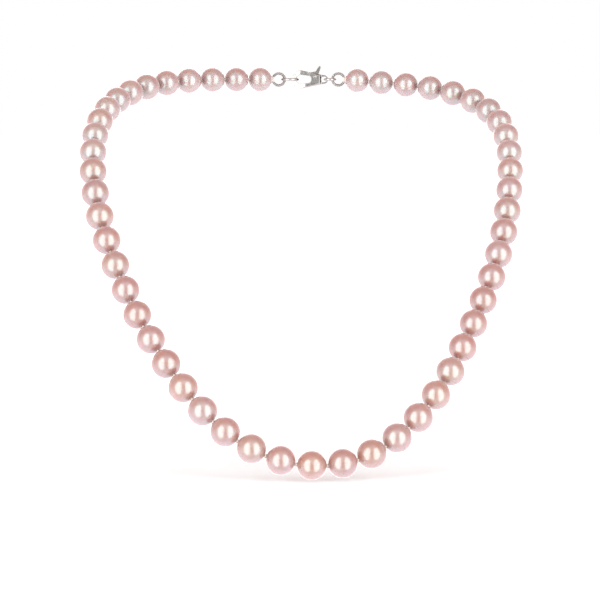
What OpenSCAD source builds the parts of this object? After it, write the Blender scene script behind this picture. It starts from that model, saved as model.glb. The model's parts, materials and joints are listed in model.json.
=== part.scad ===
// A single-strand pearl necklace, hanging as it does round a neck: drilled pearls knotted one by one
// on silk, a loop of gimp wire at each end, and a lobster clasp that closes on a catch ring at the nape.
// Millimetres. The origin is on the neck's centre line, level with the clasp. +Z is up, -Y is the chest.

/* [Pearls] */
// pearls on the strand, from one side of the clasp round to the other
pearl_count = 52; // [50:1:52]
// diameter of the pearls at the front
pearl_d = 8.0; // [7.8:0.05:8.1]
// how much smaller a pearl beside the clasp is than one at the front
pearl_taper = 0.4; // [0:0.05:0.6]
// how far a pearl's size strays from its neighbours'
pearl_stray = 0.1; // [0:0.01:0.15]
// hole drilled through each pearl
bore_d = 0.9; // [0.8:0.05:1]

/* [Silk] */
// thickness of the silk thread
silk_d = 0.5; // [0.4:0.05:0.6]
// space between two pearls, which a knot fills
knot_gap = 0.5; // [0.45:0.05:0.6]
// width of a knot, across the strand
knot_d = 1.4; // [1.2:0.1:1.6]

/* [Gimp loops] */
// outside of the coiled gimp wire that guards the silk
gimp_d = 0.9; // [0.8:0.05:0.95]
// thickness of the gimp's coiled wall
gimp_wall = 0.14; // [0.1:0.01:0.16]

/* [Rings] */
// thickness of the wire of both rings
ring_wire = 0.8; // [0.7:0.05:0.8]
// catch ring that the clasp closes on, radius to the middle of its wire
catch_r = 2.6; // [2.6:0.1:2.8]
// link ring that holds the clasp, radius to the middle of its wire
link_r = 1.7; // [1.6:0.1:1.8]

/* [Clasp] */
// length of the clasp, nose to eye
claw_len = 11.6; // [11.2:0.1:11.8]
// height of the clasp at its fullest
claw_h = 5.9; // [5.8:0.1:6]
// thickness of the clasp's cheeks
claw_t = 2.7; // [2.6:0.1:2.8]
// diameter of the trigger's pivot pin
pin_d = 0.7; // [0.6:0.05:0.7]

/* [Hidden] */
$fn = 96;
tiny = 0.01;
nacre = "#e3c3c0";
silk_white = "#efe3d3";
silver = "#c9c6c0";

// The line that the strand lies along, from the clasp's catch-ring side, over the shoulder, round the
// chest and back up to the claw's side. It is a little uneven, as a strand laid by hand is.
route = [
  [-11.5, 50, 0], [-37.5, 38, -0.5], [-52.5, 23.5, -3.5], [-60.5, 3, -10.5], [-62, -17.5, -23],
  [-57.5, -36, -42.5], [-45, -53, -68.5], [-26, -67, -92], [-5.5, -71.5, -102.5],
  [16, -68, -101], [34, -57, -86.5], [49, -37, -60.5], [56.5, -17.5, -39.5], [59, 6, -19.5],
  [54, 25, -9], [39.5, 39, -3], [11.5, 50, 0]
];

// A smooth curve through the route's points.
steps = 16;
last = len(route) - 1;
ends = concat([2 * route[0] - route[1]], route, [2 * route[last] - route[last - 1]]);
function bend(a, b, c, d, t) =
  (2 * b + (c - a) * t + (2 * a - 5 * b + 4 * c - d) * t * t + (3 * b - a - 3 * c + d) * t * t * t) / 2;
curve = [
  for (i = [1 : last], k = [0 : steps - 1])
    bend(ends[i - 1], ends[i], ends[i + 1], ends[i + 2], k / steps),
  route[last]
];
run = [for (i = 0, s = 0; i < len(curve); s = s + (i < len(curve) - 1 ? norm(curve[i + 1] - curve[i]) : 0),
            i = i + 1) s];
curve_len = run[len(run) - 1];
function along(s) = [for (k = [0 : 2]) lookup(s, [for (i = [0 : len(run) - 1]) [run[i], curve[i][k]]])];

// Pearl sizes: full at the front, tapering to the clasp, with a small stray that repeats every build.
middle = (pearl_count + 1) / 2;
stray_turn = 316.25;
function pearl_size(i) =
  pearl_d - pearl_taper * pow((i - middle) / (middle - 1), 2) + pearl_stray * sin(stray_turn * i);

// Knots: knot i lies between pearl i and pearl i + 1, and the route is scaled to the strand's length.
function knot_run(i) = i == 0 ? 0 : knot_run(i - 1) + pearl_size(i) + knot_gap;
strand_len = knot_run(pearl_count);
fit = strand_len / curve_len;
knots = [for (i = [0 : pearl_count]) fit * along(min(knot_run(i) / fit, curve_len))];
function pearl_name(i) = str("pearl_", i < 10 ? "0" : "", i);

// The nape: everything between the two end knots, on a straight line along X.
nape_gap = norm(knots[pearl_count] - knots[0]);
loop_start = knot_gap / 2;
link_slack = 0.1;
eye_slack = 0.3;
nose_slack = 0.2;
gimp_mouth = 25;
claw_half = claw_h / 2;
nose_t = 1.5;
eye_r = 1.4;
eye_bore_r = 0.9;
eye_u = claw_len - eye_r;
taper = asin((claw_half - eye_r) / (eye_u - claw_half));
catch_wire_u = nose_t + ring_wire / 2 + nose_slack;
link_wire_u = eye_u + eye_bore_r - ring_wire / 2 - eye_slack;
hardware = 2 * catch_r + link_wire_u - catch_wire_u + 2 * link_r;
wire_x = (nape_gap - hardware) / 2;
loop_r = (wire_x + ring_wire / 2 + link_slack + gimp_d / 2 - loop_start) / 2;
catch_x = wire_x + catch_r;
claw_x = catch_x + catch_r - catch_wire_u;
link_x = claw_x + link_wire_u + link_r;

// Clasp details, measured from the nose along u and up from the middle line along v.
mouth_r = claw_half - nose_t;
mouth_end_r = 1.15;
mouth_end_u = 5;
gate_u = 2.6;
gate_end_u = 5.2;
gate_t = 1.8;
gate_v = 1.1;
cheek_u = 5.4;
pivot = [7.3, 0.9];
gate_reach = norm([gate_u, gate_v] - pivot);
tongue_t = 1.1;
tongue_r = 1;
slot_t = 1.2;
slot_v = -0.5;
slot_end_u = 8.8;
play = 0.04;
pin_inset = 0.05;
// the blank's thickness at its tip, beside the nose and at the eye, and where it reaches its full thickness
tip_t = 1.2;
nose_side_t = 1.6;
eye_t = 0.9;
full_u = 4.3;
thin_u = eye_u - 0.8;
// the tongue's outline and its thumb tab, measured from the pivot
tongue = [[-2.4, 0.4], [-2.4, 1.2], [0.1, 1.6], [1.1, 3], [1.9, 2.7], [1, 0], [-0.2, -0.8]];
tab_at = [1.5, 2.85];
tab_r = 0.43;

// Puts a thing that was drawn along +Z onto the line from a to b, starting at a.
module from_to(a, b) {
  d = b - a;
  translate(a) rotate([0, acos(d[2] / norm(d)), atan2(d[1], d[0])]) children();
}

// The nape's line starts at the first end knot and runs along X.
module on_nape(x = 0) translate(knots[0]) translate([x, 0, 0]) children();

// Mirrors what is at the nape's first end knot over to its second.
module other_side() translate([knots[0][0] + knots[pearl_count][0], 0, 0]) mirror([1, 0, 0]) children();

// Lays a flat drawing (u along X, v up) into the upright plane, t thick about it.
module upright(t) rotate([90, 0, 0]) linear_extrude(t, center = true) children();

// Two circles and the straight lines that touch both.
module egg(x1, r1, x2, r2) {
  a = asin((r1 - r2) / (x2 - x1));
  translate([x1, 0]) circle(r1);
  translate([x2, 0]) circle(r2);
  polygon([
    [x1 + r1 * sin(a), r1 * cos(a)], [x2 + r2 * sin(a), r2 * cos(a)],
    [x2 + r2 * sin(a), -r2 * cos(a)], [x1 + r1 * sin(a), -r1 * cos(a)]
  ]);
}

module pearl(i) {
  a = knots[i - 1];
  b = knots[i];
  color(nacre) from_to(a, b) translate([0, 0, norm(b - a) / 2]) difference() {
    sphere(d = pearl_size(i));
    cylinder(d = bore_d, h = pearl_size(i) + 1, center = true);
  }
}

// One knot, squeezed between two pearls: a rounded bead of silk.
module knot(i) {
  before = knots[max(i - 1, 0)];
  after = knots[min(i + 1, pearl_count)];
  side = (knot_gap - 2 * play) / 2;
  from_to(knots[i], knots[i] + (after - before)) intersection() {
    sphere(d = knot_d);
    cylinder(d = knot_d + 1, h = 2 * side, center = true);
  }
}

// The silk turns back through its last pearl in a loop, and the coiled gimp covers the loop up to the knot.
module at_loop() on_nape(loop_start) translate([loop_r, 0, 0]) rotate([90, 0, 0]) children();

module gimp_loop() color(silver) rotate(gimp_mouth - 180) rotate_extrude(angle = 360 - 2 * gimp_mouth)
  translate([loop_r, 0]) difference() {
    circle(d = gimp_d);
    circle(d = gimp_d - 2 * gimp_wall);
  }

module silk_loop() rotate_extrude() translate([loop_r, 0]) circle(d = gimp_d - 2 * gimp_wall - 2 * play);

module gimp_left() at_loop() gimp_loop();
module gimp_right() other_side() at_loop() gimp_loop();

// One length of silk: through every pearl, knotted at every gap, and round both end loops.
module silk_thread() color(silk_white) {
  for (i = [1 : pearl_count]) from_to(knots[i - 1], knots[i])
    cylinder(d = silk_d, h = norm(knots[i] - knots[i - 1]));
  for (i = [0 : pearl_count]) knot(i);
  at_loop() silk_loop();
  other_side() at_loop() silk_loop();
}

module ring(r) color(silver) rotate_extrude() translate([r, 0]) circle(d = ring_wire);
module catch_ring() on_nape(catch_x) ring(catch_r);
module link_ring() on_nape(link_x) ring(link_r);

// The clasp's rounded blank: an egg, trimmed to the taper of its sides.
module claw_blank(t) intersection() {
  rotate([0, 90, 0]) {
    translate([0, 0, claw_half]) sphere(claw_half);
    translate([0, 0, claw_half + claw_half * sin(taper)])
      cylinder(r1 = claw_half * cos(taper), r2 = eye_r * cos(taper),
        h = (eye_u - claw_half) * pow(cos(taper), 2));
    translate([0, 0, eye_u]) sphere(eye_r);
  }
  linear_extrude(claw_h + 1, center = true) polygon([
    [-tiny, -tip_t / 2], [nose_t, -nose_side_t / 2], [full_u, -t / 2], [slot_end_u, -t / 2],
    [thin_u, -eye_t / 2], [claw_len + 1, -eye_t / 2], [claw_len + 1, eye_t / 2], [thin_u, eye_t / 2],
    [slot_end_u, t / 2], [full_u, t / 2], [nose_t, nose_side_t / 2], [-tiny, tip_t / 2]
  ]);
}

module mouth() upright(claw_h) egg(claw_half, mouth_r, mouth_end_u, mouth_end_r);

module claw_body() color(silver) on_nape(claw_x) difference() {
  claw_blank(claw_t);
  mouth();
  // the gate's opening, from the nose's tip, which follows the gate's swing, back to the cheeks
  upright(claw_h) intersection() {
    translate([0, gate_v - play]) square([cheek_u, claw_h]);
    translate(pivot) circle(gate_reach + play);
  }
  // the slot between the cheeks, which the trigger turns in
  upright(slot_t) translate([mouth_end_u, slot_v]) square([slot_end_u - mouth_end_u, claw_h]);
  translate([pivot[0], 0, pivot[1]]) rotate([90, 0, 0]) cylinder(d = pin_d + tiny, h = claw_h, center = true);
  translate([eye_u, 0, 0]) rotate([90, 0, 0]) cylinder(r = eye_bore_r, h = claw_h, center = true);
}

module claw_trigger() color(silver) on_nape(claw_x) difference() {
  union() {
    // the gate, which closes the mouth
    intersection() {
      difference() {
        claw_blank(gate_t);
        mouth();
      }
      upright(gate_t) intersection() {
        translate([0, gate_v]) square([gate_end_u, claw_h]);
        translate(pivot) circle(gate_reach);
      }
    }
    // the tongue on the pin, and the thumb tab that stands out of the slot
    upright(tongue_t) translate(pivot) {
      circle(tongue_r);
      polygon(tongue);
      translate(tab_at) circle(tab_r);
    }
  }
  translate([pivot[0], 0, pivot[1]]) rotate([90, 0, 0])
    cylinder(d = pin_d + 2 * play, h = claw_h, center = true);
}

module claw_pin() color(silver) on_nape(claw_x) translate([pivot[0], 0, pivot[1]]) rotate([90, 0, 0])
  cylinder(d = pin_d, h = claw_t - 2 * pin_inset, center = true);

for (i = [1 : pearl_count]) pearl(i);
silk_thread();
gimp_left();
gimp_right();
catch_ring();
link_ring();
claw_body();
claw_trigger();
claw_pin();
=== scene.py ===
import json
import math

import bmesh
import bpy
import numpy as np
from mathutils import Matrix, Vector


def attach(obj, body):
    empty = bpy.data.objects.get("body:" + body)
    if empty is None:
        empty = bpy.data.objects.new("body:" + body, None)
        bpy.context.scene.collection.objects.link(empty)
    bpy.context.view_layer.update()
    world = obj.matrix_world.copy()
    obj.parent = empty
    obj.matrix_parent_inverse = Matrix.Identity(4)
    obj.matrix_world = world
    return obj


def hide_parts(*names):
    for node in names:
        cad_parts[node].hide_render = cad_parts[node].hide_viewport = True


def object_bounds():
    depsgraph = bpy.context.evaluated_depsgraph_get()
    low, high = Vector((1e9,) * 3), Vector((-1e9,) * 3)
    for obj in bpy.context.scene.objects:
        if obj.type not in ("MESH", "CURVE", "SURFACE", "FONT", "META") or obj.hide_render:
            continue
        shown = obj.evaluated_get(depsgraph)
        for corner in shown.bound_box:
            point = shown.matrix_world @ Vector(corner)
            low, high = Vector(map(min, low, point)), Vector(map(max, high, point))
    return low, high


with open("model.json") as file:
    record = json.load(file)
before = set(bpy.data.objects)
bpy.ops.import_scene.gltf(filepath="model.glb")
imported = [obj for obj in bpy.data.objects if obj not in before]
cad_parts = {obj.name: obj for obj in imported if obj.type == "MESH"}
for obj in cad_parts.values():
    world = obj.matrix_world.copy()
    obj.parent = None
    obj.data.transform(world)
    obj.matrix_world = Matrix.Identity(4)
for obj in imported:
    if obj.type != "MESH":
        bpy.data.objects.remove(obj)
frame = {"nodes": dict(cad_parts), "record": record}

CAD_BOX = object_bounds()
MM = 0.001
TAU = 2 * math.pi
BODY = {n: b for b, members in frame["record"]["behaviour"]["bodies"].items() for n in members}

# The strand, as in the CAD source.
PEARLS = 52
PEARL_D = 8.0
PEARL_TAPER = 0.4
PEARL_STRAY = 0.1
STRAY_TURN = 316.25
BORE_R = 0.45
SILK_R = 0.25
KNOT_GAP = 0.5
ROUTE = np.array([
    [-11.5, 50, 0], [-37.5, 38, -0.5], [-52.5, 23.5, -3.5], [-60.5, 3, -10.5], [-62, -17.5, -23],
    [-57.5, -36, -42.5], [-45, -53, -68.5], [-26, -67, -92], [-5.5, -71.5, -102.5],
    [16, -68, -101], [34, -57, -86.5], [49, -37, -60.5], [56.5, -17.5, -39.5], [59, 6, -19.5],
    [54, 25, -9], [39.5, 39, -3], [11.5, 50, 0],
], float)
STEPS = 16

# The nape, as in the CAD source. U runs along the clasp from its nose, and V is up from its middle.
GIMP_R = 0.45
GIMP_MOUTH = math.radians(25)
RING_R = 0.4
CATCH_R = 2.6
LINK_R = 1.7
LINK_SLACK = 0.1
NOSE_SLACK = 0.2
EYE_SLACK = 0.3
NOSE_U = 1.5
EYE_U = 10.2
EYE_BORE_R = 0.9
PIVOT_U = 7.3
PIVOT_V = 0.9


def curve_through(route):
    """The smooth curve through the route's points."""
    ends = np.vstack([2 * route[0] - route[1], route, 2 * route[-1] - route[-2]])
    out = []
    for a, b, c, d in zip(ends, ends[1:], ends[2:], ends[3:]):
        for k in range(STEPS):
            t = k / STEPS
            out.append((2 * b + (c - a) * t + (2 * a - 5 * b + 4 * c - d) * t * t
                        + (3 * b - a - 3 * c + d) * t ** 3) / 2)
    return np.array(out + [route[-1]])


def pearl_size(i):
    """Diameter of pearl i: full at the front, less towards the clasp, with a small stray."""
    share = (i - (PEARLS + 1) / 2) / ((PEARLS - 1) / 2)
    return PEARL_D - PEARL_TAPER * share ** 2 + PEARL_STRAY * math.sin(math.radians(STRAY_TURN * i))


# Knot i lies between pearl i and pearl i + 1.
CURVE = curve_through(ROUTE)
RUN = np.concatenate([[0], np.cumsum(np.linalg.norm(np.diff(CURVE, axis=0), axis=1))])
KNOT_RUN = np.concatenate([[0], np.cumsum([pearl_size(i) + KNOT_GAP for i in range(1, PEARLS + 1)])])
FIT = KNOT_RUN[-1] / RUN[-1]
KNOTS = FIT * np.array([[np.interp(min(s / FIT, RUN[-1]), RUN, CURVE[:, k]) for k in range(3)]
                        for s in KNOT_RUN])

# Between the two end knots, everything lies on a straight line along X.
NAPE = KNOTS[0]
GAP = KNOTS[-1][0] - KNOTS[0][0]
CATCH_WIRE_U = NOSE_U + RING_R + NOSE_SLACK
LINK_WIRE_U = EYE_U + EYE_BORE_R - RING_R - EYE_SLACK
WIRE_X = (GAP - (2 * CATCH_R + LINK_WIRE_U - CATCH_WIRE_U + 2 * LINK_R)) / 2
LOOP_START = KNOT_GAP / 2
LOOP_R = (WIRE_X + RING_R + LINK_SLACK + GIMP_R - LOOP_START) / 2
LOOP_CENTRE = NAPE + [LOOP_START + LOOP_R, 0, 0]
CATCH_X = WIRE_X + CATCH_R
CLAW_X = CATCH_X + CATCH_R - CATCH_WIRE_U
LINK_X = CLAW_X + LINK_WIRE_U + LINK_R

# Twisted thread: its plies, and how deep the grooves between them are as a share of its radius.
PLIES = 3
PLY_DEPTH = 0.14
SILK_TWIST = 0.7  # turns of the plies in a millimetre
KNOT_TWIST = 1.1
ASKEW = (0.31, 0.62, 0.72)  # a direction that no tube starts along


# ---------------------------------------------------------------- meshes

def add_mesh(name, verts, faces, material, node, body, matrix=None):
    """A mesh piece from points in millimetres, which stands for a CAD node and rides on its body."""
    mesh = bpy.data.meshes.new(name)
    mesh.from_pydata([tuple(v) for v in np.asarray(verts) * MM], [], faces)
    work = bmesh.new()
    work.from_mesh(mesh)
    bmesh.ops.recalc_face_normals(work, faces=work.faces)
    work.to_mesh(mesh)
    work.free()
    mesh.shade_smooth()
    mesh.materials.append(material)
    obj = bpy.data.objects.new(name, mesh)
    bpy.context.scene.collection.objects.link(obj)
    if matrix is not None:
        obj.matrix_world = matrix
    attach(obj, body)
    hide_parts(node)
    return obj


def grid_faces(rows, cols, closed_rows):
    """Quads of a grid of points whose columns close on themselves."""
    last = rows if closed_rows else rows - 1
    faces = []
    for r in range(last):
        here = r * cols
        above = (r + 1) % rows * cols
        for c in range(cols):
            after = (c + 1) % cols
            faces.append((here + c, here + after, above + after, above + c))
    return faces


def unit(v):
    """A vector's direction."""
    return v / np.linalg.norm(v)


def tube_frames(p, closed):
    """For each point of a line: the tangent, a side direction that doesn't twist, and the run so far."""
    tangents = np.roll(p, -1, 0) - np.roll(p, 1, 0) if closed else np.gradient(p, axis=0)
    tangents /= np.linalg.norm(tangents, axis=1)[:, None]
    side = unit(np.cross(tangents[0], ASKEW))
    sides = [side]
    run = [0.0]
    for k in range(1, len(p)):
        side = unit(side - tangents[k] * (side @ tangents[k]))
        sides.append(side)
        run.append(run[-1] + np.linalg.norm(p[k] - p[k - 1]))
    return tangents, sides, run


def tube(points, radius, sides, closed=False, plies=0, turns_per_mm=0.0):
    """A tube along points, with twisted plies if it is thread. Returns its points and faces."""
    p = np.asarray(points, float)
    n = len(p)
    tangents, side_at, run = tube_frames(p, closed)
    lag = 0.0
    if closed:  # the frame's turn round a closed loop is spread along it, and the plies meet
        back = side_at[-1] - tangents[0] * (side_at[-1] @ tangents[0])
        lag = math.atan2(np.cross(back, side_at[0]) @ tangents[0], back @ side_at[0])
        whole = run[-1] + np.linalg.norm(p[0] - p[-1])
        turns_per_mm = round(turns_per_mm * whole) / whole
    verts = []
    for k in range(n):
        u = side_at[k]
        w = np.cross(tangents[k], u)
        for a in np.arange(sides) * TAU / sides:
            swell = 1
            if plies:
                ridge = abs(math.cos(plies / 2 * (a - TAU * turns_per_mm * run[k])))
                swell = 1 - PLY_DEPTH + PLY_DEPTH * ridge
            turned = a + lag * k / n
            verts.append(p[k] + radius * swell * (math.cos(turned) * u + math.sin(turned) * w))
    faces = grid_faces(n, sides, closed)
    if not closed:
        faces += [tuple(range(sides))[::-1], tuple(range((n - 1) * sides, n * sides))]
    return verts, faces


def join(parts):
    """Several (points, faces) as one."""
    verts, faces = [], []
    for v, f in parts:
        faces += [tuple(i + len(verts) for i in face) for face in f]
        verts += list(v)
    return verts, faces


def axes_along(direction):
    """A matrix whose Z axis lies along direction."""
    return Vector(direction).to_track_quat("Z", "Y").to_matrix()


# ---------------------------------------------------------------- node helpers

# Sockets of a Mix node that mixes colours.
FACTOR, COLOUR_A, COLOUR_B, COLOUR_OUT = 0, 6, 7, 2


def new_material(name):
    """A material with one Principled shader. Returns the material, its node tree and the shader."""
    material = bpy.data.materials.new(name)
    material.use_nodes = True
    tree = material.node_tree
    tree.nodes.clear()
    out = tree.nodes.new("ShaderNodeOutputMaterial")
    shader = tree.nodes.new("ShaderNodeBsdfPrincipled")
    tree.links.new(shader.outputs[0], out.inputs[0])
    return material, tree, shader


def set_inputs(node, values):
    """Sets a node's sockets, by name, to constants."""
    for name, value in values.items():
        node.inputs[name].default_value = value


def object_coords(tree):
    """Coordinates on the object, in metres, so that a noise's scale counts its features in a metre."""
    return tree.nodes.new("ShaderNodeTexCoord").outputs["Object"]


def noise(tree, coords, scale, detail=3.0, rough=0.5, distortion=0.0):
    n = tree.nodes.new("ShaderNodeTexNoise")
    set_inputs(n, {"Scale": scale, "Detail": detail, "Roughness": rough, "Distortion": distortion})
    tree.links.new(coords, n.inputs["Vector"])
    return n.outputs["Fac"]


def ramp(tree, source, stops):
    """A colour ramp with stops of (position, colour)."""
    n = tree.nodes.new("ShaderNodeValToRGB")
    elements = n.color_ramp.elements
    for k in (0, -1):
        position, colour = stops[k]
        elements[k].position = position
        elements[k].color = (*colour, 1)
    for position, colour in stops[1:-1]:
        elements.new(position).color = (*colour, 1)
    tree.links.new(source, n.inputs["Fac"])
    return n.outputs["Color"]


def remap(tree, source, low, high, from_low=0.3, from_high=0.7):
    """A value carried from one range to another, and held at its ends."""
    n = tree.nodes.new("ShaderNodeMapRange")
    set_inputs(n, {"From Min": from_low, "From Max": from_high, "To Min": low, "To Max": high})
    tree.links.new(source, n.inputs["Value"])
    return n.outputs[0]


def fade(tree, source, start, end):
    """0 where source is at start, rising to 1 where it is at end."""
    return remap(tree, source, 0, 1, start, end)


def mix(tree, a, b, factor, blend="MIX"):
    """Two colours mixed; a, b and factor are sockets or constants."""
    n = tree.nodes.new("ShaderNodeMix")
    n.data_type = "RGBA"
    n.blend_type = blend
    for socket, value in ((n.inputs[FACTOR], factor), (n.inputs[COLOUR_A], a), (n.inputs[COLOUR_B], b)):
        if isinstance(value, bpy.types.NodeSocket):
            tree.links.new(value, socket)
        else:
            socket.default_value = (*value, 1) if isinstance(value, tuple) else value
    return n.outputs[COLOUR_OUT]


def bump(tree, shader, heights):
    """Bumps one after another, each a (height, strength, distance in metres)."""
    normal = None
    for height, strength, distance in heights:
        n = tree.nodes.new("ShaderNodeBump")
        set_inputs(n, {"Strength": strength, "Distance": distance})
        tree.links.new(height, n.inputs["Height"])
        if normal is not None:
            tree.links.new(normal, n.inputs["Normal"])
        normal = n.outputs[0]
    tree.links.new(normal, shader.inputs["Normal"])


# ---------------------------------------------------------------- materials

def nacre():
    """Freshwater nacre: a soft pearly lustre over a mottled rose body, under a clear, smooth skin."""
    material, tree, shader = new_material("nacre")
    at = object_coords(tree)
    tint = tree.nodes.new("ShaderNodeAttribute")
    tint.attribute_name = "tint"
    clouds = noise(tree, at, scale=260, detail=2, rough=0.5, distortion=0.6)
    patches = noise(tree, at, scale=620, detail=4, rough=0.6, distortion=1.2)
    cloud_tints = [(0.32, (0.93, 0.86, 0.94)), (0.5, (1, 1, 1)), (0.68, (1, 0.95, 0.86))]
    patch_tints = [(0.3, (0.93, 0.90, 0.91)), (0.6, (1, 1, 1))]
    body = mix(tree, tint.outputs["Color"], ramp(tree, clouds, cloud_tints), 1.0, "MULTIPLY")
    body = mix(tree, body, ramp(tree, patches, patch_tints), 1.0, "MULTIPLY")
    tree.links.new(body, shader.inputs["Base Color"])
    tree.links.new(remap(tree, patches, low=0.27, high=0.33), shader.inputs["Roughness"])
    set_inputs(shader, {
        "Metallic": 0.08, "IOR": 2.8, "Specular Tint": (0.60, 1.0, 0.98, 1),
        "Subsurface Weight": 0.6, "Subsurface Radius": (1.0, 0.35, 0.25), "Subsurface Scale": 0.0015,
        "Coat Weight": 1.0, "Coat Roughness": 0.16, "Coat IOR": 1.65,
        "Sheen Weight": 0.25, "Sheen Roughness": 0.45, "Sheen Tint": (0.95, 0.80, 0.92, 1),
    })
    bump(tree, shader, [(clouds, 0.2, 0.00006), (patches, 0.06, 0.00003)])
    return material


def silk():
    """Spun silk thread: fine fibres, a little sheen and faint soiling."""
    material, tree, shader = new_material("silk")
    at = object_coords(tree)
    fibres = noise(tree, at, scale=9000, detail=4, rough=0.7, distortion=1.5)
    soil = noise(tree, at, scale=900)
    fibre_tints = [(0.3, (0.76, 0.60, 0.52)), (0.55, (0.92, 0.82, 0.75)), (0.75, (0.96, 0.90, 0.86))]
    soil_tints = [(0.35, (0.90, 0.84, 0.80)), (0.6, (1, 1, 1))]
    colour = mix(tree, ramp(tree, fibres, fibre_tints), ramp(tree, soil, soil_tints), 1.0, "MULTIPLY")
    tree.links.new(colour, shader.inputs["Base Color"])
    tree.links.new(remap(tree, fibres, low=0.45, high=0.7), shader.inputs["Roughness"])
    set_inputs(shader, {"Sheen Weight": 0.5, "Sheen Roughness": 0.3, "Specular IOR Level": 0.35})
    bump(tree, shader, [(fibres, 0.5, 0.00003)])
    return material


def silver(name, roughness, scratches):
    """Sterling silver: polished, with fine rubbed scratches and a trace of warm tarnish."""
    material, tree, shader = new_material(name)
    at = object_coords(tree)
    stretch = tree.nodes.new("ShaderNodeMapping")
    set_inputs(stretch, {"Scale": (1, 9, 4), "Rotation": (0.3, 0.5, 0.7)})
    tree.links.new(at, stretch.inputs["Vector"])
    rubbed = noise(tree, stretch.outputs[0], scale=3000, detail=4, rough=0.65)
    cloud = noise(tree, at, scale=480, detail=4, rough=0.6, distortion=0.5)
    tarnish = [(0.3, (0.36, 0.33, 0.30)), (0.48, (0.47, 0.455, 0.44)), (0.7, (0.54, 0.53, 0.52))]
    tree.links.new(ramp(tree, cloud, tarnish), shader.inputs["Base Color"])
    worn = remap(tree, rubbed, low=roughness * 0.8, high=roughness * 1.7)
    tree.links.new(worn, shader.inputs["Roughness"])
    set_inputs(shader, {"Metallic": 1.0})
    bump(tree, shader, [(rubbed, scratches, 0.00001), (cloud, 0.1, 0.00004)])
    return material


NACRE = nacre()
SILK = silk()
SILVER = silver("silver", roughness=0.2, scratches=0.12)
SILVER_WIRE = silver("silver_wire", roughness=0.22, scratches=0.25)

# ---------------------------------------------------------------- pearls

# Body tints, linear, and their order along the strand:
# r rose, m mauve, p peach, c cream, l lavender, g greyed (a rose body tint made paler and greyer
# as painted light, for the dimmer, washed-out light on the pearls towards the clasp).
TINTS = {
    "r": (0.46, 0.185, 0.155), "m": (0.45, 0.20, 0.18), "p": (0.48, 0.20, 0.15),
    "c": (0.46, 0.23, 0.19), "l": (0.45, 0.23, 0.215), "g": (0.47, 0.275, 0.255),
}
# Painted light: the g pearls at both ends, towards the clasp, take the greyed tint to stand for their
# dimmer light.
ORDER = "glgggggggcggclcmcmrmrplmcmprpmrpcrrrmlmclcggggggglgg"
OWN_SPREAD = (0.95, 1.05)  # how much lighter or darker than its tint a pearl can be
OTHER_SHARE = 0.35  # how far one side of a pearl turns towards another pearl's tint
OTHER_STEP = 5  # pearl i takes the other tint from this many times i along the order
SEED = 4100
PEARL_SIDES = 60
PEARL_ROWS = 40
LIP = 0.12  # radius of the rounding where the bore meets the outside
LIP_ANGLES = np.radians([112, 135, 158, 180])  # round the lip, from the outside to the bore's wall

# How far a pearl strays from round, as shares of its radius.
OVALS = (0.010, 0.007)
EGG = 0.004
MOST_DIMPLES = 2
DIMPLE = (0.002, 0.006)
DIMPLE_WIDTH = (0.05, 0.12)
GROOVED_SHARE = 0.3  # of the pearls
GROOVE = 0.0025
GROOVE_AT = (0.5, 2.6)  # angle from the bore, in radians
GROOVE_WIDTH = 0.04
MOUTH_BLEND = 0.2  # the strays fade out towards the holes over this much of the sine of that angle


def ease(x, low, high):
    """A smooth step from 0 at low to 1 at high."""
    t = np.clip((x - low) / (high - low), 0, 1)
    return t * t * (3 - 2 * t)


def grown_swell(rng, polar, out, mouth):
    """How far each point strays from round: off-round growth, dimples and, on some, a faint groove."""
    swell = np.zeros_like(polar)
    for size in OVALS:
        d = unit(rng.normal(size=3))
        swell += size * rng.uniform(-1, 1) * ((out @ d) ** 2 - 1 / 3)
    d = unit(rng.normal(size=3))
    swell += EGG * rng.uniform(-1, 1) * (out @ d) ** 3
    for _ in range(rng.integers(0, MOST_DIMPLES + 1)):
        d = unit(rng.normal(size=3))
        width = rng.uniform(*DIMPLE_WIDTH)
        swell -= rng.uniform(*DIMPLE) * np.exp(-((1 - out @ d) / (width * width)))
    if rng.random() < GROOVED_SHARE:
        swell -= GROOVE * np.exp(-((polar - rng.uniform(*GROOVE_AT)) / GROOVE_WIDTH) ** 2)
    return swell * ease(np.sin(polar), math.sin(mouth), math.sin(mouth) + MOUTH_BLEND)


def drilled_pearl(rng, radius):
    """Points and faces of a pearl about its own bore, with a rounded lip at each end of the hole."""
    mouth = math.asin((BORE_R + LIP) / radius)
    turn = np.arange(PEARL_SIDES) * TAU / PEARL_SIDES
    down = np.linspace(mouth, math.pi - mouth, PEARL_ROWS)
    polar, azimuth = np.meshgrid(down, turn, indexing="ij")
    out = np.stack([np.sin(polar) * np.cos(azimuth), np.sin(polar) * np.sin(azimuth), np.cos(polar)], -1)
    outside = out * (radius * (1 + grown_swell(rng, polar, out, mouth)))[..., None]
    top = math.sqrt(radius ** 2 - (BORE_R + LIP) ** 2)
    lip = [(BORE_R + LIP + LIP * math.cos(a), top - LIP + LIP * math.sin(a)) for a in LIP_ANGLES]
    wall = [(r, -z) for r, z in lip]
    wall += [(BORE_R, share * top) for share in (-0.5, 0, 0.5)]
    wall += lip[::-1]
    rings = [np.stack([r * np.cos(turn), r * np.sin(turn), np.full(PEARL_SIDES, z)], -1) for r, z in wall]
    verts = np.vstack([outside.reshape(-1, 3)] + rings)
    return verts, grid_faces(PEARL_ROWS + len(wall), PEARL_SIDES, True)


def pearl_tints(rng, i, verts, radius):
    """The body tint at each point: the pearl's own, turning on one side towards another pearl's."""
    own = np.array(TINTS[ORDER[i - 1]]) * rng.uniform(*OWN_SPREAD)
    other = np.array(TINTS[ORDER[i * OTHER_STEP % PEARLS]])
    side = verts / radius @ unit(rng.normal(size=3))
    share = OTHER_SHARE * ease(side, -1.0, 1.2)[:, None]
    colours = np.ones((len(verts), 4), np.float32)
    colours[:, :3] = own * (1 - share) + other * share
    return colours


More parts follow.
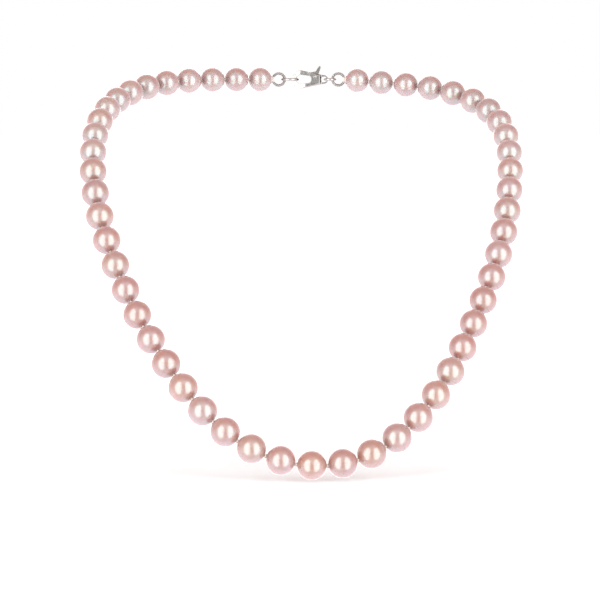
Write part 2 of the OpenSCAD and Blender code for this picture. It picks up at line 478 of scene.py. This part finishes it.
def pearl(i):
    """Pearl i on its stretch of the strand."""
    rng = np.random.default_rng(SEED + i)
    radius = pearl_size(i) / 2
    verts, faces = drilled_pearl(rng, radius)
    a, b = KNOTS[i - 1], KNOTS[i]
    matrix = Matrix.Translation(Vector((a + b) / 2 * MM)) @ axes_along(b - a).to_4x4()
    node = f"pearl_{i:02d}"
    obj = add_mesh("nacre_" + node, verts, faces, NACRE, node, BODY[node], matrix)
    tint = obj.data.color_attributes.new("tint", "FLOAT_COLOR", "POINT")
    tint.data.foreach_set("color", pearl_tints(rng, i, verts, radius).ravel())


for i in range(1, PEARLS + 1):
    pearl(i)

# ---------------------------------------------------------------- silk

# A knot: its strand's radius, and the size of the trefoil that the strand follows.
KNOT_STRAND_R = 0.21
KNOT_WIDE = 0.155
KNOT_TALL = 0.10
KNOT_POINTS = 72
SILK_POINTS = 40
SILK_SIDES = 12
LOOP_SILK_R = 0.27
LOOP_POINTS = 96
LOOP_SIDES = 14


def knot_shape(i):
    """Overhand knot i, pulled tight round the thread: a small trefoil of plied silk."""
    axes = np.array(axes_along(KNOTS[min(i + 1, PEARLS)] - KNOTS[max(i - 1, 0)]))
    t = np.linspace(0, TAU, KNOT_POINTS, endpoint=False)
    trefoil = np.stack([KNOT_WIDE * (np.sin(t) + 2 * np.sin(2 * t)),
                        KNOT_WIDE * (np.cos(t) - 2 * np.cos(2 * t)),
                        -KNOT_TALL * np.sin(3 * t)], -1)
    return tube(trefoil @ axes.T + KNOTS[i], KNOT_STRAND_R, SILK_SIDES, True, PLIES, KNOT_TWIST)


def thread(a, b):
    """A straight length of thread."""
    steps = np.linspace(0, 1, SILK_POINTS)[:, None]
    return tube(a + (b - a) * steps, SILK_R, SILK_SIDES, False, PLIES, SILK_TWIST)


# The silk in each pearl and the knot after it move with that pearl.
for i in range(1, PEARLS + 1):
    parts = [thread(KNOTS[i - 1], KNOTS[i])]
    if i < PEARLS:
        parts.append(knot_shape(i))
    verts, faces = join(parts)
    add_mesh(f"silk_{i:02d}", verts, faces, SILK, "silk_thread", BODY[f"pearl_{i:02d}"])


def mirrored(verts):
    """Points of the catch ring's side carried over to the claw's side."""
    out = np.array(verts, float)
    out[:, 0] = KNOTS[0][0] + KNOTS[-1][0] - out[:, 0]
    return out


def end_loop():
    """The silk loop beyond the first end knot."""
    t = np.linspace(0, TAU, LOOP_POINTS, endpoint=False)
    line = LOOP_CENTRE + LOOP_R * np.stack([np.cos(t), 0 * t, np.sin(t)], -1)
    return tube(line, LOOP_SILK_R, LOOP_SIDES, True, PLIES, SILK_TWIST)


loop_verts, loop_faces = end_loop()
verts, faces = join([(loop_verts, loop_faces), knot_shape(0)])
add_mesh("silk_loop_left", verts, faces, SILK, "silk_thread", BODY["pearl_01"])
verts, faces = join([(mirrored(loop_verts), loop_faces), knot_shape(PEARLS)])
add_mesh("silk_loop_right", verts, faces, SILK, "silk_thread", BODY["pearl_52"])

# ---------------------------------------------------------------- gimp, rings and clasp

GIMP_WIRE_R = 0.072
GIMP_TURNS = 62
GIMP_STEPS = 14  # points in one turn
GIMP_SIDES = 7


def gimp_coil():
    """One fine wire coiled close round the silk loop, open at the knot."""
    t = np.linspace(0, 1, GIMP_TURNS * GIMP_STEPS + 1)
    along = (GIMP_MOUTH - math.pi) + t * (TAU - 2 * GIMP_MOUTH)
    coil_turn = TAU * GIMP_TURNS * t
    coil_r = GIMP_R - GIMP_WIRE_R
    reach = LOOP_R + coil_r * np.cos(coil_turn)
    line = np.stack([reach * np.cos(along), coil_r * np.sin(coil_turn), reach * np.sin(along)], -1)
    return tube(LOOP_CENTRE + line, GIMP_WIRE_R, GIMP_SIDES)


verts, faces = gimp_coil()
add_mesh("gimp_coil_left", verts, faces, SILVER_WIRE, "gimp_left", BODY["gimp_left"])
verts = mirrored(verts)
add_mesh("gimp_coil_right", verts, faces, SILVER_WIRE, "gimp_right", BODY["gimp_right"])

RING_STEPS = 120
RING_SIDES = 24
# The soldered seam's swelling and the joint in its middle: (share of the wire's radius, width in radians).
SEAM_SWELL = (0.07, 0.09)
SEAM_JOINT = (0.05, 0.022)


def seam_hump(off, size):
    """How much a feature of the seam adds to the wire's radius, at an angle off its middle."""
    height, width = size
    return height * math.exp(-(off / width) ** 2)


def ring(name, node, centre_x, radius, seam):
    """A ring of round wire with a soldered seam: a small swelling with a fine groove in its middle."""
    verts = []
    for a in np.linspace(0, TAU, RING_STEPS, endpoint=False):
        off = (a - seam + math.pi) % TAU - math.pi
        wire = RING_R * (1 + seam_hump(off, SEAM_SWELL) - seam_hump(off, SEAM_JOINT))
        for b in np.arange(RING_SIDES) * TAU / RING_SIDES:
            r = radius + wire * math.cos(b)
            verts.append(NAPE + [centre_x + r * math.cos(a), r * math.sin(a), wire * math.sin(b)])
    add_mesh(name, verts, grid_faces(RING_STEPS, RING_SIDES, True), SILVER, node, BODY[node])


ring("soldered_catch_ring", "catch_ring", CATCH_X, CATCH_R, seam=2.2)
ring("soldered_link_ring", "link_ring", LINK_X, LINK_R, seam=1.3)


def cast_piece(name, node, voxel, passes):
    """A casting of the clasp: the CAD solid with its edges rounded by tumbling and polishing."""
    source = frame["nodes"][node]
    obj = bpy.data.objects.new(name, source.data.copy())
    bpy.context.scene.collection.objects.link(obj)
    obj.data.materials.clear()
    remesh = obj.modifiers.new("remesh", "REMESH")
    remesh.mode = "VOXEL"
    remesh.voxel_size = voxel * MM
    remesh.use_smooth_shade = True
    soften = obj.modifiers.new("soften", "SMOOTH")
    soften.factor = 0.5
    soften.iterations = passes
    graph = bpy.context.evaluated_depsgraph_get()
    mesh = bpy.data.meshes.new_from_object(obj.evaluated_get(graph))
    obj.modifiers.clear()
    obj.data = mesh
    mesh.materials.clear()
    mesh.materials.append(SILVER)
    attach(obj, BODY[node])
    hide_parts(node)


cast_piece("cast_claw_body", "claw_body", voxel=0.07, passes=5)
cast_piece("cast_claw_trigger", "claw_trigger", voxel=0.05, passes=4)

PIN_R = 0.345
PIN_END = 1.40  # from the pin's middle to the top of its dome
PIN_SIDES = 28
# Half of the pin's outline, from near the top of its dome down its side: (radius, distance along it).
PIN_OUTLINE = [(0.14, 1.395), (0.25, 1.37), (0.32, 1.33), (PIN_R, 1.28), (PIN_R, 0.6)]


def peened_pin():
    """The pivot pin, its two ends peened into low domes."""
    outline = PIN_OUTLINE + [(PIN_R, 0.0)] + [(r, -y) for r, y in PIN_OUTLINE[::-1]]
    centre = NAPE + [CLAW_X + PIVOT_U, 0, PIVOT_V]
    turn = np.arange(PIN_SIDES) * TAU / PIN_SIDES
    verts = [centre + [r * math.cos(a), y, r * math.sin(a)] for r, y in outline for a in turn]
    faces = grid_faces(len(outline), PIN_SIDES, False)
    top = len(verts)
    last_row = top - PIN_SIDES
    verts += [centre + [0, PIN_END, 0], centre + [0, -PIN_END, 0]]
    for k in range(PIN_SIDES):
        after = (k + 1) % PIN_SIDES
        faces.append((top, k, after))
        faces.append((top + 1, last_row + k, last_row + after))
    add_mesh("peened_pin", verts, faces, SILVER, "claw_pin", BODY["claw_pin"])


peened_pin()

# ---------------------------------------------------------------- camera, light, room and floor

# Places are in metres from here on.
CAMERA_AT = (-0.0027, -0.6675, -0.0069)
CAMERA_PITCH = math.radians(85)
LENS = 136.14  # millimetres, as the sensor's width is
SENSOR = 36


def place_camera():
    """The camera in front of the necklace, at the photograph's angle."""
    camera = bpy.data.objects.new("camera", bpy.data.cameras.new("camera"))
    bpy.context.scene.collection.objects.link(camera)
    camera.location = CAMERA_AT
    camera.rotation_euler = (CAMERA_PITCH, 0, 0)
    camera.data.lens = LENS
    camera.data.sensor_width = SENSOR
    camera.data.clip_start = 0.01
    camera.data.clip_end = 100
    bpy.context.scene.camera = camera
    bpy.context.scene.view_settings.view_transform = "Standard"


place_camera()

# Two tall softboxes, one on each side of the camera.
SOFTBOX_AIM = Vector((0, -0.03, -0.05))
SOFTBOX_ELEVATION = math.radians(2)
SOFTBOX_DISTANCE = 0.8
SOFTBOX_HEIGHT = 1.6
SOFTBOX_RADIANCE = 2.15
SOFTBOX_COLOUR = (0.94, 1.0, 1.01)


def softbox(name, azimuth, width):
    """An elliptical softbox that faces the necklace, at an azimuth to the camera's right in degrees."""
    light = bpy.data.lights.new(name, "AREA")
    light.shape = "ELLIPSE"
    light.size = width
    light.size_y = SOFTBOX_HEIGHT
    area = math.pi / 4 * width * SOFTBOX_HEIGHT
    light.energy = SOFTBOX_RADIANCE * math.pi * area
    light.color = SOFTBOX_COLOUR
    obj = bpy.data.objects.new(name, light)
    bpy.context.scene.collection.objects.link(obj)
    turn = math.radians(azimuth)
    level = math.cos(SOFTBOX_ELEVATION)
    away = Vector((math.sin(turn) * level, -math.cos(turn) * level, math.sin(SOFTBOX_ELEVATION)))
    obj.location = SOFTBOX_AIM + away * SOFTBOX_DISTANCE
    obj.rotation_euler = away.to_track_quat("Z", "Y").to_euler()
    obj.visible_camera = False


softbox("key_left", azimuth=-35, width=0.72)
softbox("key_right", azimuth=39, width=0.70)

# The room that lights the pearls and that they reflect. Its colours by height run from straight down (0)
# to straight up (1). Those of the white tent in front of it run from the front (0) to the sides (1).
ROOM_BY_HEIGHT = [
    (0.0, (1.50, 1.38, 1.52)), (0.30, (1.48, 1.34, 1.46)), (0.5, (1.18, 0.98, 1.00)),
    (0.75, (0.68, 0.46, 0.43)), (1.0, (0.76, 0.50, 0.46)),
]
TENT = [
    (0.0, (0.42, 0.40, 0.39)), (0.07, (0.60, 0.58, 0.57)), (0.22, (1.0, 0.99, 0.98)),
    (0.6, (0.98, 0.97, 0.97)),
]
BACK_WALL = (1.36, 1.04, 1.04)
BACK_GLOW = (2.6, 2.5, 2.5)


def build_room():
    """The world: pure white to the camera, and the room to everything else."""
    world = bpy.data.worlds.new("studio")
    bpy.context.scene.world = world
    world.use_nodes = True
    tree = world.node_tree
    tree.nodes.clear()
    out = tree.nodes.new("ShaderNodeOutputWorld")
    seen = tree.nodes.new("ShaderNodeBackground")
    seen.inputs[0].default_value = (1, 1, 1, 1)
    way = tree.nodes.new("ShaderNodeSeparateXYZ")
    tree.links.new(tree.nodes.new("ShaderNodeTexCoord").outputs["Generated"], way.inputs[0])
    depth = way.outputs["Y"]  # -1 straight in front of the necklace, 1 straight behind it
    room = ramp(tree, fade(tree, way.outputs["Z"], -1, 1), ROOM_BY_HEIGHT)
    tent = ramp(tree, fade(tree, depth, -1, 0), TENT)
    room = mix(tree, room, tent, fade(tree, depth, -0.12, -0.45))
    room = mix(tree, room, BACK_WALL, fade(tree, depth, 0.45, 0.85))
    room = mix(tree, room, BACK_GLOW, fade(tree, depth, 0.86, 0.93))
    around = tree.nodes.new("ShaderNodeBackground")
    tree.links.new(room, around.inputs[0])
    choose = tree.nodes.new("ShaderNodeMixShader")
    tree.links.new(tree.nodes.new("ShaderNodeLightPath").outputs["Is Camera Ray"], choose.inputs[0])
    tree.links.new(around.outputs[0], choose.inputs[1])
    tree.links.new(seen.outputs[0], choose.inputs[2])
    tree.links.new(choose.outputs[0], out.inputs[0])


build_room()

FLOOR_SIZE = 12
FLOOR_DROP = 0.0006  # below the lowest pearl
PAPER_TINTS = [(0.3, (0.72, 0.78, 0.79)), (0.7, (0.74, 0.80, 0.81))]
# The paper's own glow is dim under the front pearls, so that their soft shadow shows.
FROM_FRONT = (0, 0.07, 0)  # carries the place under the front pearls to the origin
GLOW_FROM = 0.04
GLOW_TO = 0.22
GLOW_TINTS = [(0.0, (0.22, 0.25, 0.25)), (1.0, (1, 1, 1))]


def paper():
    """White seamless paper."""
    material, tree, shader = new_material("paper")
    at = object_coords(tree)
    grain = noise(tree, at, scale=900)
    tree.links.new(ramp(tree, grain, PAPER_TINTS), shader.inputs["Base Color"])
    from_front = tree.nodes.new("ShaderNodeMapping")
    from_front.inputs["Location"].default_value = FROM_FRONT
    tree.links.new(at, from_front.inputs["Vector"])
    distance = tree.nodes.new("ShaderNodeVectorMath")
    distance.operation = "LENGTH"
    tree.links.new(from_front.outputs[0], distance.inputs[0])
    glow = ramp(tree, fade(tree, distance.outputs["Value"], GLOW_FROM, GLOW_TO), GLOW_TINTS)
    tree.links.new(glow, shader.inputs["Emission Color"])
    set_inputs(shader, {"Roughness": 0.9, "Specular IOR Level": 0.0, "Emission Strength": 1.05})
    material.cycles.emission_sampling = "NONE"
    return material


def lay_floor():
    """A plain floor that only the camera sees, so that it neither lights the pearls nor shows in them."""
    bpy.ops.mesh.primitive_plane_add(size=FLOOR_SIZE, location=(0, 0, CAD_BOX[0].z - FLOOR_DROP))
    floor = bpy.context.object
    floor.name = "floor"
    floor.data.materials.append(paper())
    floor.visible_glossy = False
    floor.visible_diffuse = False
    floor.visible_transmission = False
    floor.visible_shadow = False


lay_floor()
